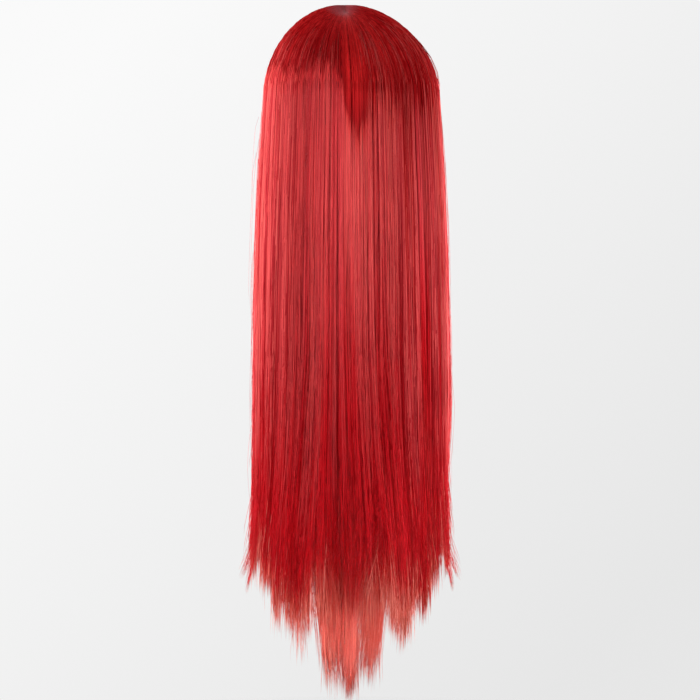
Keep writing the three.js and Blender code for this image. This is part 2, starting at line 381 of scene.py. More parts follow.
def hair_point(angle, turn, z, root_share=1.0):
    """Outer form of the hair. Up to a turn of 90 degrees it is the dome: a line straight in plan from the
    root, at a share of the parting's half width, to the widest level, laid on an ellipsoid and sunk beside
    the parting. Past that it hangs at height z on an oval plan that widens downwards, less on the right."""
    share = (np.abs(angle) / FACE_EDGE) ** ROOT_CROWDING
    root_y = PARTING_CROWN + (PARTING_FRONT - PARTING_CROWN) * share
    root_offset = np.clip(angle / ROOT_FAN, -1, 1) * root_share * PARTING_WIDTH / 2
    out = np.sin(np.radians(np.minimum(turn, 90)))
    edge = plan_point(angle, DOME_HALF_WIDTH, DOME_BACK, HANG_Z[0])
    offset = root_offset + (edge[..., 0] - root_offset) * out
    y = root_y + (edge[..., 1] - root_y) * out
    height = dome_height(offset / DOME_HALF_WIDTH, y / DOME_BACK) - ROOT_DROP * np.exp(-turn / ROOT_RISE)
    dome = np.stack([PARTING_X * (1 - out**2) + offset, y, height], axis=-1)
    closer = RIGHT_CLOSER * smooth(-z, *RIGHT_CLOSING) * (angle < 0)
    half_width = np.interp(-z, -HANG_Z, HANG_HALF_WIDTH) - closer
    back = np.interp(-z, -HANG_Z, HANG_BACK)
    return np.where(turn[..., None] < 90, dome, plan_point(angle, half_width, back, z))


def outward(points):
    """Unit direction outwards: square to the dome above the widest level, and level below it."""
    rise = np.maximum(0, points[..., 2:] - HEAD_CENTRE[2])
    direction = np.concatenate([points[..., :2], rise], axis=-1)
    return direction / np.linalg.norm(direction, axis=-1, keepdims=True)


def sink(points, depth):
    """Points moved inwards by a depth."""
    return points - outward(points) * depth[..., None]


def chance(seed):
    """Repeatable number from 0 to 1: the fraction left of a large multiple of a sine."""
    value = np.sin(seed * CHANCE_STEP) * CHANCE_SPREAD
    return value - np.floor(value)


def lock_columns(start, end, locks, seed, tips):
    """Columns across a row of locks: angle, groove depth and lowest point. Lock edges and lengths play
    about an even row. From a lock's middle to its edges, the groove deepens and the lower edge rises, each
    by a power of the share."""
    number = np.arange(locks + 1)
    play = LOCK_WIDTH_PLAY * (chance(seed + number) - 0.5)
    play[[0, -1]] = 0
    edges = start + (number + play) * (end - start) / locks
    at_face = np.abs(edges) > FACE_LIMIT
    grooves = LOCK_GROOVE * (LOCK_GROOVE_LEAST + LOCK_GROOVE_PLAY * chance(seed + GROOVE_SEED + number))
    grooves = np.where(at_face, LOCK_FACE_GROOVE, grooves)
    middles = (edges[1:] + edges[:-1]) / 2
    length_play = LOCK_LENGTH_PLAY * (chance(seed + LENGTH_SEED + number[:-1]) - LOCK_LENGTH_BIAS)
    points = np.interp(np.abs(middles), *tips) + length_play
    beside = np.concatenate([points[:1], points, points[-1:]])
    notches = np.maximum(beside[1:], beside[:-1]) + LOCK_NOTCH
    place = np.arange(locks * LOCK_COLUMNS + 1) / LOCK_COLUMNS
    lock = np.minimum(place.astype(int), locks - 1)
    share = 2 * (place - lock) - 1
    side = lock + (share > 0)
    angle = edges[lock] + (edges[lock + 1] - edges[lock]) * (share + 1) / 2
    groove = grooves[side] * np.abs(share) ** LOCK_GROOVE_POWER
    tip = points[lock] + (notches[side] - points[lock]) * np.abs(share) ** LOCK_NOTCH_POWER
    return angle, groove, tip


def tip_taper(shares):
    """Share of the full wall that is left, thinning along the lower half of the hanging length."""
    return 1 + (LOCK_TIP_WALL - 1) * smooth(shares, LOCK_TAPER_FROM, 1)


def hang_plan(z, inset):
    """Half width and reach to the back of the hanging hair, brought in by an inset but not into the cap."""
    axes = HEAD_HALF + CAP_WALL + SEAT_GAP
    cap = np.sqrt(np.maximum(0, 1 - ((z - HEAD_CENTRE[2]) / axes[2]) ** 2))
    half_width = np.interp(-z, -HANG_Z, HANG_HALF_WIDTH) - inset
    back = np.interp(-z, -HANG_Z, HANG_BACK) - inset
    return np.maximum(axes[0] * cap, half_width), np.maximum(axes[1] * cap, back)


def core(name, columns):
    """Dense core of a section of hair: the outer form in locks, sunk so that strands can lie over it, and
    an inner face that rests over the cap and then keeps a wall that thins towards the tips."""
    angle, groove, tip = (column[:, None] for column in columns)
    turns = np.concatenate([CORE_TURNS, np.full(len(CORE_SHARES), 90.0)])[None, :]
    shares = np.concatenate([np.zeros(len(CORE_TURNS)), CORE_SHARES])[None, :]
    z = HANG_Z[0] + (tip + CORE_SHORTER - HANG_Z[0]) * shares
    taper = tip_taper(shares)
    form = hair_point(angle, turns + 0 * angle, z)
    sunk = CORE_SINK * (CORE_ROOT_SINK + (1 - CORE_ROOT_SINK) * smooth(turns, *CORE_ROOT_TURNS))
    depth = groove * smooth(turns, *GROOVE_TURNS) * taper + sunk
    wall_left = np.maximum(np.interp(-z, -HANG_Z, HANG_WALL) * taper, depth + CORE_LEAST_WALL)
    hang_inner = plan_point(angle, *hang_plan(z, wall_left), z)
    inner = np.where(turns[..., None] < 90, onto_cap(form), hang_inner)
    return wall(name, sink(form, depth), inner, joined=False)


def core_material(name):
    """Fibre seen deep between the strands: dark red, a painted shade for the depth between them, with fine
    lighter and darker streaks, a noise drawn out down the fall."""
    material, tree, surface = new_material(name)
    around, down = uv_axes(tree, "Fall")
    streak_place = tree.nodes.new("ShaderNodeCombineXYZ")
    tree.links.new(math(tree, "MULTIPLY", around, STREAKS_ACROSS), streak_place.inputs["X"])
    tree.links.new(math(tree, "MULTIPLY", down, STREAKS_DOWN), streak_place.inputs["Y"])
    streak = add_node(tree, "ShaderNodeTexNoise", Scale=1.0, Detail=4.0, Roughness=0.7)
    tree.links.new(streak_place.outputs["Vector"], streak.inputs["Vector"])
    # Levels darker than the strands' dye: painted shade of the deep fibre.
    streak_stops = [
        (0.25, (0.14, 0.0005, 0.002)),
        (0.5, (0.28, 0.001, 0.004)),
        (0.75, (0.45, 0.003, 0.008)),
    ]
    bump = add_node(tree, "ShaderNodeBump", Strength=0.7, Distance=0.0008)
    tree.links.new(streak.outputs["Fac"], bump.inputs["Height"])
    shader = add_node(tree, "ShaderNodeBsdfPrincipled", Roughness=0.5, Specular_Tint=(1.0, 0.3, 0.28, 1))
    tree.links.new(ramp(tree, streak.outputs["Fac"], streak_stops), shader.inputs["Base Color"])
    tree.links.new(bump.outputs["Normal"], shader.inputs["Normal"])
    tree.links.new(shader.outputs["BSDF"], surface)
    return material


# Strands: rows along each one, then tresses, depths and widths.
BACK_STRANDS = 2400
STRAND_TURNS = np.array([0.0, 9, 20, 32, 44, 56, 68, 79])
STRAND_SHARES = np.array([0, 0.22, 0.47, 0.72, 0.89, 0.97, 1])
ROW_TURN_PLAY = 4.0
ROW_SHARE_PLAY = 0.3
DOME_RUN = 0.15
TRESS_SPACING = 0.9
TRESS_PLACES = (0.1, 0.9)
TRESS_HALVES = (0.5, 1.4)
TRESS_SINK = 0.0016
TRESS_CROWN = 0.0007
TRESS_LENGTH_PLAY = 0.008
STRAND_INSET = 0.2
STRAND_SINK = 0.0012
STRAND_SHORTER = 0.013
STRAND_SHORTER_SHAPE = 1.6
STRAND_GROOVE = 0.6
ROOT_DEPTH = 0.1
ROOTED_TURN = 30
ROOT_OVERLAP = 1.08
ROOT_COVER = np.array([[85.0, 110], [-0.15, 0.6]])
FINE_RADIUS = 0.00018
COARSE_RADIUS = 0.00047
ROOT_WIDTH = 0.7
ROOT_WIDTH_RUN = 0.2
TIP_THINNER = 0.5
TIP_THIN_FROM = 0.8
ACCENT_SHARE = 0.2
ACCENT_SINK = 0.1
ACCENT_RADIUS = 0.00044
ACCENT_WIDTHS = (0.6, 1)

# Course of a strand, in degrees round the cap. A pair says where a change starts and where it is complete.
FAN_MIDDLE = 8.0
FAN_SPREAD = 13.0
FAN_STEEP = 16.0
FAN_OPENING = (0.38, 0.59)
TRESS_DRIFT = 2.3
STRAND_DRIFT = 1.8
DRIFT_POWER = 1.5
WAVE_SWING = 0.4
WAVE_HEIGHT = 0.045
WAVE_PHASE_PLAY = 0.6
WAVE_FULL_FROM = 0.5
TRESS_GATHER = 0.5
GATHER_FROM = 0.7
END_SPLAY = 1.5
SPLAY_FROM = 0.85
TIP_LIFT = 0.0014
LIFT_FROM = 0.8
CORNER_FLARE = 0.005
CORNER_FLARE_SHAPE = (1.5, 3)
CORNER_BEGINS = (60, 76)
CORNER_ENDS = (96, 115)

# Tufts at the ends: the edges of each, the angle it closes to, its tip, and how hard it pulls.
TUFT_EDGES = np.array([-138.0, -100, -68, -56, -41, -22, 22, 42, 54, 66, 100, 138])
TUFT_MIDDLES = np.array([-118.0, -82, -61, -48, -31, 1, 33, 47, 59, 82, 118])
TUFT_TIPS = np.array(
    [-0.580, -0.580, -0.606, -0.624, -0.652, -0.646, -0.650, -0.632, -0.611, -0.587, -0.580]
)
TUFT_PULL = np.array([0.0, 0.1, 0.12, 0.12, 0.1, 0.42, 0.1, 0.12, 0.12, 0.1, 0.0])
TUFT_CLOSING = (0.50, 0.62)
TUFT_PULL_PLAY = (0, 2)
TUFT_NOTCH = 0.010
TUFT_MIXING = 3.0
PULLED_SHORTER = 0.05

# Tone of a strand, from 0, deep, to 1, bright: the set tone of its place and the play about it.
TONE_HALF = 0.006
TONE_LIMITS = (0.02, 0.98)
MIDDLE_TONE = 0.5
# Set tone by angle, with painted edge light from about 68 to 95 degrees on both sides and a painted shade
# at 33 degrees.
PLACE_TONES_AND_EDGE_LIGHT = np.array([
    [-125.0, -95, -68, -57, -44, -36, -24, -14, -4, 4, 12, 20, 33, 42, 60, 78, 95, 115],
    [0, 0.36, 0.32, -0.05, -0.1, 0.12, 0.12, 0, 0.12, 0, -0.12, 0, -0.22, 0, 0.1, 0.32, 0.32, 0],
])
LOCK_TONE_BAND = 6.0
LOCK_TONE_PLAY = 0.045
TRESS_TONE_PLAY = 0.05
STRAND_TONE_PLAY = 0.2
ACCENT_TONE = 0.34

# Painted shading along a strand: the length of the painted shade on the crown, the long rosy locks of
# painted highlight, the strip's tone that shows at the root, and the height from which the ends are thin
# and turn to a painted coral backlight.
PAINTED_SHADE_LENGTHS = np.array([
    [-138.0, -90, -68, -41, -29, -19, -7, -3, 0, 3.5, 6, 8, 25, 40, 60, 138],
    [0.14, 0.166, 0.174, 0.168, 0.165, 0.172, 0.190, 0.205,
     0.203, 0.168, 0.142, 0.121, 0.119, 0.123, 0.123, 0.12],
])
PAINTED_SHADE_RUN = 0.2
DARK_FADES_IN = (0.02, 0.07)
DARK_FADES_OUT = (0.3, 0.5)
DARK_BAND = 2.5
DARK_BAND_PLAY = 0.014
DARK_STRAND_PLAY = 0.006
DARK_PLAY_LEFT = 0.6
EARLY_SHINE = 0.10
EARLY_SHINE_LEFT = 0.15
RIGHT_SIDE = (6, 14)
LONG_SHINE = np.array([
    [-80.0, -60, -48, -37, -26, -18, -8, 0, 6, 14, 24, 33, 42, 52, 62, 80],
    [0.18, 0.1, -0.12, 0.3, -0.04, -0.06, 0.12, 0, -0.12, 0.02, 0.27, -0.1, 0.08, 0.08, 0.12, 0.21],
])
SHINE_FADES_OUT = (0.86, 0.94)
SHINE_BAND = 6.5
SHINE_BAND_PLAY = 0.09
SHINE_NARROW_PLAY = 0.08
SHINE_STRAND_PLAY = 0.03
SKIN_REACH = np.array([[-20.0, 0, 10, 30, 80, 95], [0, 0.006, 0.011, 0.013, 0.012, 0]])
SKIN_RUN = 0.035
SKIN_FADES_OUT = (0.03, 0.06)
THIN_FROM = np.array([
    [0.0, 8, 15, 24, 33, 48, 58, 70, 90],
    [-0.594, -0.590, -0.586, -0.586, -0.595, -0.592, -0.575, -0.562, -0.548],
])
THIN_EARLIER = 0.022
THIN_TRESS_PLAY = 0.008
THIN_STRAND_PLAY = 0.010
THIN_OVER = 0.045
THIN_RUN = 0.94
SKIN_THROUGH = (0.60, 0.12, 0.14, 1)


def tubes(name, path, radius, tone, along):
    """Three-sided tubes round many paths (strands, rows, 3): each ring has one corner turned outwards, the
    last row closes to a point and the first is capped. The bake map holds a strand's tone in u and its run
    in v."""
    count, rows = path.shape[:2]
    tangent = np.gradient(path, axis=1)
    tangent /= np.linalg.norm(tangent, axis=-1, keepdims=True)
    away = outward(path)
    away -= tangent * np.sum(away * tangent, axis=-1, keepdims=True)
    away /= np.linalg.norm(away, axis=-1, keepdims=True)
    across = np.cross(tangent, away)
    corners = np.radians([0, 120, 240])
    ring = np.cos(corners)[:, None] * away[:, :-1, None] + np.sin(corners)[:, None] * across[:, :-1, None]
    rings = path[:, :-1, None] + radius[:, :-1, None, None] * ring
    index = np.arange(count * (rows - 1) * 3).reshape(count, rows - 1, 3)
    tips = count * (rows - 1) * 3 + np.arange(count)
    turned = np.roll(index, -1, axis=2)
    quads = np.stack([index[:, :-1], turned[:, :-1], turned[:, 1:], index[:, 1:]], axis=-1)
    points = np.stack([index[:, -1], turned[:, -1], np.repeat(tips[:, None], 3, axis=1)], axis=-1)
    faces = [quads.reshape(-1, 4), points.reshape(-1, 3), index[:, 0, ::-1].reshape(-1, 3)]
    piece = new_piece(name, np.concatenate([rings.reshape(-1, 3), path[:, -1]]), faces)
    left = np.broadcast_to(tone[:, None, None] - TONE_HALF, (count, rows - 2, 3))
    right = left + 2 * TONE_HALF
    upper = np.broadcast_to(along[:, :-2, None], left.shape)
    lower = np.broadcast_to(along[:, 1:-1, None], left.shape)
    quad_uv = np.stack([left, upper, right, upper, right, lower, left, lower], axis=-1)
    last = np.broadcast_to(along[:, -2:-1], (count, 3))
    end = np.broadcast_to(along[:, -1:], (count, 3))
    tip_uv = np.stack([left[:, 0], last, right[:, 0], last, (left + right)[:, 0] / 2, end], axis=-1)
    first = along[:, 0]
    cap_uv = np.stack([left[:, 0, 0], first, right[:, 0, 0], first, tone, first + TONE_HALF], axis=-1)
    set_uv(piece, "OFBake", np.concatenate([part.reshape(-1, 2) for part in (quad_uv, tip_uv, cap_uv)]))
    return piece


def tress_play(rng, tresses, tress, shared, own):
    """Normal play of each strand, as a column: a part that its whole tress shares and a part of its own."""
    return (rng.normal(0, shared, tresses)[tress] + rng.normal(0, own, len(tress)))[:, None]


def band_play(rng, spread, middle, width):
    """Normal play that is shared by all strands whose tresses lie in the same band of angles."""
    bands = int(np.ceil(2 * FACE_EDGE / width))
    return rng.normal(0, spread, bands)[((middle + FACE_EDGE) / width).astype(int)]


def fine_radii(rng, count):
    """Radii of plain strands, most of them near the finest: the square of an even draw."""
    return FINE_RADIUS + (COARSE_RADIUS - FINE_RADIUS) * rng.uniform(0, 1, count) ** 2


def end_taper(shares):
    """Share of a strand's width that is left, thinning along its last fifth."""
    return 1 - TIP_THINNER * smooth(shares, TIP_THIN_FROM, 1)


def strand_tones(rng, middle, accent, tresses, tress):
    """Own tone and whole tone of each strand. Its own is normal play, or for an accent a set step lighter
    or darker. The whole adds the set tone of its place, with painted edge light and painted shade in it,
    and the play of its lock and its tress."""
    lock = band_play(rng, LOCK_TONE_PLAY, middle, LOCK_TONE_BAND)
    step = rng.choice([-ACCENT_TONE, ACCENT_TONE], len(middle))
    own = np.where(accent, step, rng.normal(0, STRAND_TONE_PLAY, len(middle)))
    place_tone_and_edge_light = np.interp(middle, *PLACE_TONES_AND_EDGE_LIGHT)
    whole = MIDDLE_TONE + lock + place_tone_and_edge_light + rng.normal(0, TRESS_TONE_PLAY, tresses)[tress] + own
    return own, np.clip(whole, *TONE_LIMITS)


def shaded_run(rng, run, middle, angle, hang, light):
    """Run of a strand, shifted for its painted shading. The painted shade of the crown ends at the set
    length of its angle, unevenly from band to band, and on the light accents the painted highlight starts
    earlier, both more on the right. Below it, the painted highlight is carried down in the long rosy locks
    and cut short between them. At the root the run starts lower, as far as the strip's tone shows."""
    count = len(middle)
    # Length of the painted shade on the crown, for the strand's angle.
    crown = np.interp(angle, *PAINTED_SHADE_LENGTHS) / (DOME_RUN + hang)
    uneven = band_play(rng, DARK_BAND_PLAY, middle, DARK_BAND) + rng.normal(0, DARK_STRAND_PLAY, count)
    early = EARLY_SHINE * light * rng.uniform(0, 1, count) ** 2
    on_right = smooth(-angle, *RIGHT_SIDE)
    play = uneven[:, None] * (DARK_PLAY_LEFT + (1 - DARK_PLAY_LEFT) * on_right)
    play = play + early[:, None] * (EARLY_SHINE_LEFT + (1 - EARLY_SHINE_LEFT) * on_right)
    below_crown = smooth(run, *DARK_FADES_OUT)
    shade = (PAINTED_SHADE_RUN - crown + play) * smooth(run, *DARK_FADES_IN) * (1 - below_crown)
    # Painted highlight: long rosy locks of shine, shifted along the run.
    painted_shine = band_play(rng, SHINE_BAND_PLAY, middle, SHINE_BAND) - np.interp(middle, *LONG_SHINE)
    painted_shine = painted_shine + band_play(rng, SHINE_NARROW_PLAY, middle, DARK_BAND)
    painted_shine = painted_shine + rng.normal(0, SHINE_STRAND_PLAY, count)
    shade = shade + painted_shine[:, None] * below_crown * (1 - smooth(run, *SHINE_FADES_OUT))
    bare = np.interp(angle, *SKIN_REACH) * (1 - smooth(run, *SKIN_FADES_OUT))
    return np.maximum(run + shade, np.minimum(run, SKIN_RUN)) - bare


def thinned(run, z, thin_from):
    """Run of a strand, kept short of the thin end, where the fibre turns to a painted coral backlight, down
    to the height where the hair thins out. From there on it grows with the fall to its full length."""
    below = np.clip((thin_from - z) / THIN_OVER, 0, 1)
    thin_run = THIN_RUN + (1 - THIN_RUN) * below
    return np.clip(np.where(below > 0, thin_run, np.minimum(run, THIN_RUN)), 0, 1)


def strands(name, start, end, count, seed, columns):
    """Loose strands of outer hair, gathered in narrow tresses. A strand starts at the parting and follows
    the hair's outer form at its own depth, and one in five is a coarse accent that lies on top. On the way
    down it fans out from the middle of the back by the hyperbolic tangent of its angle, drifts by a power
    of its share of the fall, waves as a sine of the height and draws in to its tress and to a tuft near it.
    At the end it splays and lifts, most at the lower corners. Its length is its tuft's, less towards the
    tuft's edges."""
    rng = np.random.default_rng(seed)
    tresses = round((end - start) / TRESS_SPACING)
    tress = rng.integers(0, tresses, count)
    places = np.arange(tresses) + rng.uniform(*TRESS_PLACES, tresses)
    middle = (start + places * (end - start) / tresses)[tress]
    offset = rng.uniform(-1, 1, count)
    half = rng.uniform(*TRESS_HALVES, tresses)[tress] * TRESS_SPACING
    angle = np.clip(middle + offset * half, start + STRAND_INSET, end - STRAND_INSET)[:, None]
    accent = rng.uniform(0, 1, count) < ACCENT_SHARE
    depth = rng.uniform(0, TRESS_SINK, tresses)[tress] + TRESS_CROWN * offset**2
    depth = np.where(accent, ACCENT_SINK, 1) * (depth + rng.uniform(0, STRAND_SINK, count))

    upright = np.cos(np.radians(np.clip(angle, -90, 90)))
    fan = FAN_SPREAD * np.tanh((angle - FAN_MIDDLE) / FAN_STEEP) * upright
    drift = tress_play(rng, tresses, tress, TRESS_DRIFT, STRAND_DRIFT)
    gather = (middle[:, None] - angle) * TRESS_GATHER
    fanned = np.clip(angle + fan + drift, -FACE_LIMIT, FACE_LIMIT)
    near = np.clip(fanned + rng.normal(0, TUFT_MIXING, (count, 1)), -FACE_LIMIT, FACE_LIMIT)
    tuft = np.digitize(near, TUFT_EDGES) - 1
    aside = fanned - TUFT_MIDDLES[tuft]
    beside = np.abs(aside) / (np.diff(TUFT_EDGES)[tuft] / 2)
    pull = TUFT_PULL[tuft] * rng.uniform(*TUFT_PULL_PLAY, tresses)[tress, None]
    tip = TUFT_TIPS[tuft] + TUFT_NOTCH * beside**2 + PULLED_SHORTER * pull
    tip = tip + rng.normal(0, TRESS_LENGTH_PLAY, tresses)[tress, None]
    hang = HANG_Z[0] - tip - rng.gamma(STRAND_SHORTER_SHAPE, STRAND_SHORTER, (count, 1))

    turn_play = rng.uniform(-ROW_TURN_PLAY, ROW_TURN_PLAY, (count, 1))
    dome_rows = np.sign(STRAND_TURNS) * turn_play + STRAND_TURNS
    turns = np.concatenate([dome_rows, np.full((count, len(STRAND_SHARES)), 90.0)], axis=1)
    share_play = rng.uniform(-ROW_SHARE_PLAY, ROW_SHARE_PLAY, (count, 1))
    hang_rows = STRAND_SHARES * (1 - STRAND_SHARES) * share_play + STRAND_SHARES
    shares = np.concatenate([np.zeros_like(dome_rows), hang_rows], axis=1)
    z = HANG_Z[0] - hang * shares
    run = (DOME_RUN * turns / 90 + hang * shares) / (DOME_RUN + hang)

    phase = rng.uniform(0, 2 * np.pi, tresses)[tress] + rng.normal(0, WAVE_PHASE_PLAY, count)
    wave = WAVE_SWING * np.sin(z / WAVE_HEIGHT + phase[:, None]) * smooth(shares, 0, WAVE_FULL_FROM)
    draw = aside * pull * smooth(-z, *TUFT_CLOSING)
    splay = rng.normal(0, END_SPLAY, (count, 1)) * smooth(shares, SPLAY_FROM, 1)
    swing = fan * smooth(-z, *FAN_OPENING) + drift * shares**DRIFT_POWER
    swing = swing + gather * smooth(shares, GATHER_FROM, 1) - draw + splay
    swung = np.clip(angle + swing + wave, -FACE_EDGE, FACE_EDGE)

    groove = STRAND_GROOVE * np.interp(angle, *columns[:2]) * smooth(turns, *GROOVE_TURNS)
    groove = groove * tip_taper(shares)
    round_to = np.abs(fanned)
    at_corner = smooth(round_to, *CORNER_BEGINS) * (1 - smooth(round_to, *CORNER_ENDS))
    lift = rng.exponential(TIP_LIFT, (count, 1))
    lift = lift + CORNER_FLARE * at_corner * rng.beta(*CORNER_FLARE_SHAPE, (count, 1))
    rooted = ROOT_DEPTH + (1 - ROOT_DEPTH) * smooth(turns, 0, ROOTED_TURN)
    covered = np.interp(np.abs(angle), *ROOT_COVER)
    root_share = covered + (ROOT_OVERLAP - covered) * rng.uniform(0, 1, (count, 1))
    level = depth[:, None] * rooted + groove - lift * smooth(shares, LIFT_FROM, 1) ** 2
    path = sink(hair_point(swung, turns, z, root_share), level)

    fine = fine_radii(rng, count)
    width = np.where(accent, ACCENT_RADIUS * rng.uniform(*ACCENT_WIDTHS, count), fine)[:, None]
    radius = width * (ROOT_WIDTH + (1 - ROOT_WIDTH) * smooth(run, 0, ROOT_WIDTH_RUN)) * end_taper(run)
    own, tone = strand_tones(rng, middle, accent, tresses, tress)
    shaded = shaded_run(rng, run, middle, angle, hang, accent & (own > 0))
    thin_from = np.interp(round_to, *THIN_FROM) + THIN_EARLIER * beside**2
    thin_from = thin_from + tress_play(rng, tresses, tress, THIN_TRESS_PLAY, THIN_STRAND_PLAY)
    return tubes(name, path, radius, tone, thinned(shaded, z, thin_from))


def level_ramp(tree, factor, stops):
    """Ramp of plain levels, from (place, level) stops."""
    return ramp(tree, factor, [(place, (level, level, level)) for place, level in stops])


def fibre_material(name):
    """Glossy dyed fibre. The tone in u runs from deep crimson to bright red. Along v the strand is pale
    where the strip shows through at its root, deep crimson with painted shade on the crown, rosy with a
    painted highlight where the fall shines and deep red with painted shade below. At the thin end it turns
    coral, a painted glow of light coming through, and loses its metallic sheen."""
    material, tree, surface = new_material(name)
    tone, run = uv_axes(tree, "OFBake")
    dye_stops = [
        (0.0, (0.36, 0.002, 0.004)),
        (0.3, (0.54, 0.004, 0.008)),
        (0.6, (0.70, 0.009, 0.014)),
        (1.0, (0.86, 0.058, 0.046)),
    ]
    # Painted light along the run: painted shade on the crown, a rosy painted highlight on the fall and
    # painted shade in the deep red below.
    painted_light_stops = [
        (0.09, (1.05, 0.55, 0.7)),
        (0.15, (0.77, 0.33, 0.48)),
        (0.19, (0.56, 0.21, 0.35)),
        (0.205, (1.0, 1.4, 1.55)),
        (0.25, (1.06, 2.0, 2.25)),
        (0.48, (1.02, 1.9, 2.15)),
        (0.66, (0.96, 1.15, 1.5)),
        (0.85, (0.88, 0.18, 0.48)),
    ]
    # Coral of the thin end: a painted glow of light coming through the fibre.
    painted_backlight_stops = [
        (0.2, (0.68, 0.075, 0.05)),
        (0.55, (0.88, 0.15, 0.105)),
        (0.95, (1.0, 0.40, 0.31)),
    ]
    skin_stops = [(0.0, 0.75), (0.01, 0.6), (0.03, 0.0)]
    thin_stops = [(THIN_RUN, 0.0), (0.985, 0.9)]
    shine_stops = [(0.19, 0.12), (0.24, 0.55), (0.48, 0.5), (0.66, 0.2), (0.8, 0.03), (0.95, 0.25)]
    metal_stops = [(0.92, 0.5), (0.98, 0.05)]
    # The dye's tone is multiplied by the painted shade and painted highlight along the run.
    dyed = mix_colour(tree, "MULTIPLY", 1.0, ramp(tree, tone, dye_stops), ramp(tree, run, painted_light_stops))
    rooted = mix_colour(tree, "MIX", level_ramp(tree, run, skin_stops), dyed, SKIN_THROUGH)
    coral = ramp(tree, tone, painted_backlight_stops)
    ended = mix_colour(tree, "MIX", level_ramp(tree, run, thin_stops), rooted, coral)
    shader = add_node(tree, "ShaderNodeBsdfPrincipled", Roughness=0.3)
    tree.links.new(ended, shader.inputs["Base Color"])
    tree.links.new(level_ramp(tree, run, shine_stops), shader.inputs["Specular IOR Level"])
    tree.links.new(level_ramp(tree, run, metal_stops), shader.inputs["Metallic"])
    tree.links.new(shader.outputs["BSDF"], surface)
    return material


shaded_core_fibre = core_material("shaded_core_fibre")
fibre = fibre_material("fibre")

back_columns = lock_columns(HALF_GAP - SIDE_EDGE, SIDE_EDGE - HALF_GAP, BACK_LOCKS, seed=3, tips=OUTER_TIPS)
dress(core("back_core", back_columns), shaded_core_fibre, "hair", "hair_back")
# Each half of the strands: its first and last angle and its seed.
back_halves = {"back_strands_right": (-SIDE_EDGE, 0.0, 11), "back_strands_left": (0.0, SIDE_EDGE, 12)}
for half_name, (half_start, half_end, half_seed) in back_halves.items():
    half_strands = strands(half_name, half_start, half_end, BACK_STRANDS, half_seed, back_columns)
    dress(half_strands, fibre, "hair", "hair_back")


# Side hair: the same fibre, sewn to both sides of the cap and combed from the parting down over its rim. It
# hangs at the sides and to the front, and its front edges frame the opening of the cap.

SIDE_STRANDS = 2050
SIDE_LOCKS = 8
# Each side: its first and last angle, and the seeds of its locks and its strands.
SIDES = {"left": (SIDE_EDGE, FACE_EDGE, 17, 21), "right": (-FACE_EDGE, -SIDE_EDGE, 29, 22)}
for side, (side_start, side_end, lock_seed, strand_seed) in SIDES.items():
    node = f"hair_{side}"
    side_edges = side_start + HALF_GAP, side_end - HALF_GAP
    side_columns = lock_columns(*side_edges, SIDE_LOCKS, lock_seed, OUTER_TIPS)
    dress(core(f"{side}_core", side_columns), shaded_core_fibre, "hair", node)
    side_strands = strands(f"{side}_strands", side_start, side_end, SIDE_STRANDS, strand_seed, side_columns)
    dress(side_strands, fibre, "hair", node)


# Nape hair: the longest tresses, sewn low on the back of the cap under the back hair. They hang inside it
# and draw together below its ends as the tail in the middle.

NAPE_EDGE = 68.0
NAPE_TOP = -0.129
NAPE_GAP = 0.001
NAPE_WALL = np.array([0.014, 0.014, 0.012, 0.009, 0.007, 0.006])
NAPE_TIPS = np.array([[0, 8, 18, 40, 68], [-0.702, -0.690, -0.656, -0.634, -0.606]])
NAPE_LOCKS = 9
NAPE_GROOVE = 0.5
NAPE_GROOVE_SHARES = (0.1, 0.5)
NAPE_CORE_SHARES = np.concatenate([[0, 0.018, 0.038, 0.06, 0.08], np.linspace(0.12, 1, 18)])
NAPE_STRANDS = 2700
NAPE_ROWS = np.array([0, 0.1, 0.3, 0.52, 0.74, 0.88, 0.97, 1])
NAPE_TRESS_HALF = 2.0
NAPE_INSET = 0.5
TAIL_CROWDING = 1.35

# Tufts of the tail: each one's edges and middle, the angle it is drawn to, how hard it closes, its tip.
NAPE_EDGES = np.array([-68.0, -54, -44, -31, -8, 11, 31, 44, 54, 68])
NAPE_MIDDLES = np.array([-60.0, -49, -38, -18, 2, 21, 38, 49, 60])
NAPE_DRAWN = np.array([-57.0, -46, -35, -11, 2.4, 14.4, 35, 46, 57])
NAPE_PULL = np.array([0.42, 0.42, 0.42, 0.56, 0.4, 0.55, 0.42, 0.42, 0.42])
NAPE_TUFT_TIPS = np.array([-0.606, -0.622, -0.634, -0.692, -0.708, -0.694, -0.634, -0.622, -0.606])
NAPE_CLOSING = (0.52, 0.68)
NAPE_NOTCH = 0.016
NAPE_LENGTH_PLAY = 0.005
NAPE_SHORTER = 0.018
NAPE_SHORTER_SHAPE = 1.5
NAPE_TRESS_DRIFT = 1.0
NAPE_STRAND_DRIFT = 1.2
NAPE_WAVE_SWING = 0.3
NAPE_WAVE_HEIGHT = 0.05

# Layers: the shares of strands over the inner and the outer face, where these lie in the core's thickness,
# and how the thickness closes at the ends. Then tone and shading.
NAPE_INNER = 0.36
NAPE_INNER_LIES = 1.03
NAPE_INNER_PROUD = 0.0005
NAPE_OUTER = 0.34
NAPE_OUTER_LIES = -0.06
NAPE_END_CLOSER = 0.5
NAPE_END_FROM = 0.6
NAPE_TONE = 0.21
NAPE_TONE_PLAY = 0.17
NAPE_FIRST_RUN = 0.2
NAPE_THIN_FROM = -0.586
NAPE_THIN_PLAY = 0.010


